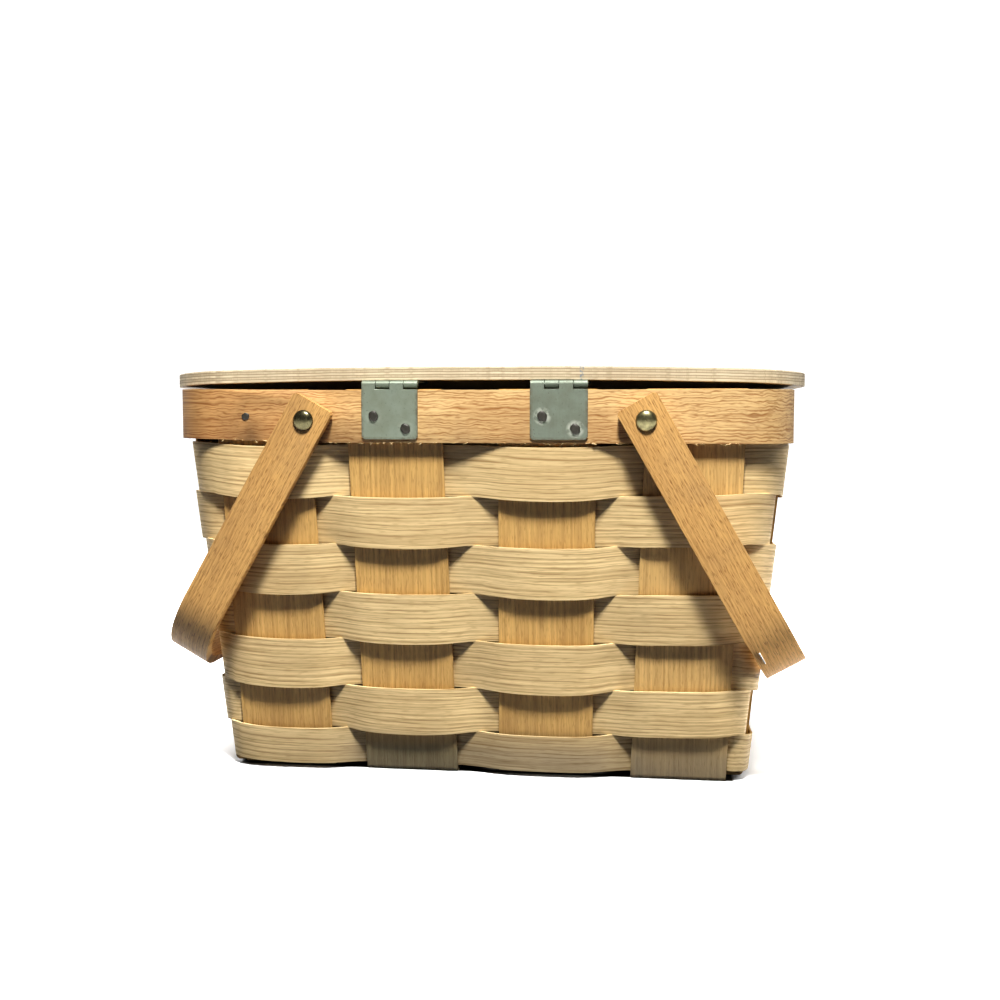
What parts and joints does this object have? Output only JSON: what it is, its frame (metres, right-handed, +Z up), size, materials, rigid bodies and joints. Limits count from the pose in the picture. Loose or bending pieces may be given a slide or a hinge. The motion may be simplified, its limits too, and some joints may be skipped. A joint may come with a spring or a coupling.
{
  "type": "splint picnic basket",
  "caption": "Tapered picnic basket woven from flat wood splints, with a hinged plywood lid and bent-wood swing handles riveted to the rim.",
  "frame": {"origin": "middle of the base, on the surface the basket stands on", "axes": "+Z up; X along the long sides; the hinged long side faces -Y"},
  "size_m": [0.3484, 0.2586, 0.2213],
  "materials": {
    "upright_splint": "satin, golden tan, grain upright",
    "weaver_splint": "satin, pale straw, grain along the splint",
    "rim_wood": "satin, warm tan with wavy grain",
    "handle_wood": "satin varnish, orange brown",
    "lid_plywood": "satin, pale veneer with open ply edge",
    "hinge_steel": "worn nickel plate, tarnished",
    "nail_steel": "dark oxidised",
    "rivet_brass": "darkened brass"
  },
  "bodies": {
    "basket": {"long_side_splint_1": "upright_splint", "long_side_splint_2": "upright_splint", "long_side_splint_3": "upright_splint", "long_side_splint_4": "upright_splint", "end_splint_1": "upright_splint", "end_splint_2": "upright_splint", "end_splint_3": "upright_splint", "weaver_row_1": "weaver_splint", "weaver_row_2": "weaver_splint", "weaver_row_3": "weaver_splint", "weaver_row_4": "weaver_splint", "weaver_row_5": "weaver_splint", "weaver_row_6": "weaver_splint", "weaver_row_7": "weaver_splint", "outer_rim_band": "rim_wood", "inner_rim_band": "rim_wood", "rim_nails": "nail_steel", "left_hinge_body_leaf": "hinge_steel", "left_hinge_pin": "hinge_steel", "right_hinge_body_leaf": "hinge_steel", "right_hinge_pin": "hinge_steel", "hinge_body_nails": "nail_steel", "back_left_handle_rivet": "rivet_brass", "back_right_handle_rivet": "rivet_brass", "front_left_handle_rivet": "rivet_brass", "front_right_handle_rivet": "rivet_brass", "handle_spacer_washers": "rivet_brass"},
    "lid": {"lid_panel": "lid_plywood", "left_hinge_lid_leaf": "hinge_steel", "right_hinge_lid_leaf": "hinge_steel", "hinge_lid_nails": "nail_steel"},
    "left_handle": {"left_handle": "handle_wood"},
    "right_handle": {"right_handle": "handle_wood"}
  },
  "joints": [
    {"name": "lid_hinge", "type": "hinge", "parent": "basket", "child": "lid", "pos_m": [0, -0.1188, 0.2118], "axis": [1, 0, 0], "range_deg": [0, 105]},
    {"name": "left_handle_swing", "type": "hinge", "parent": "basket", "child": "left_handle", "pos_m": [-0.089, 0, 0.1932], "axis": [0, 1, 0], "range_deg": [0, 60]},
    {"name": "right_handle_swing", "type": "hinge", "parent": "basket", "child": "right_handle", "pos_m": [0.089, 0, 0.1932], "axis": [0, -1, 0], "range_deg": [0, 60]}
  ]
}
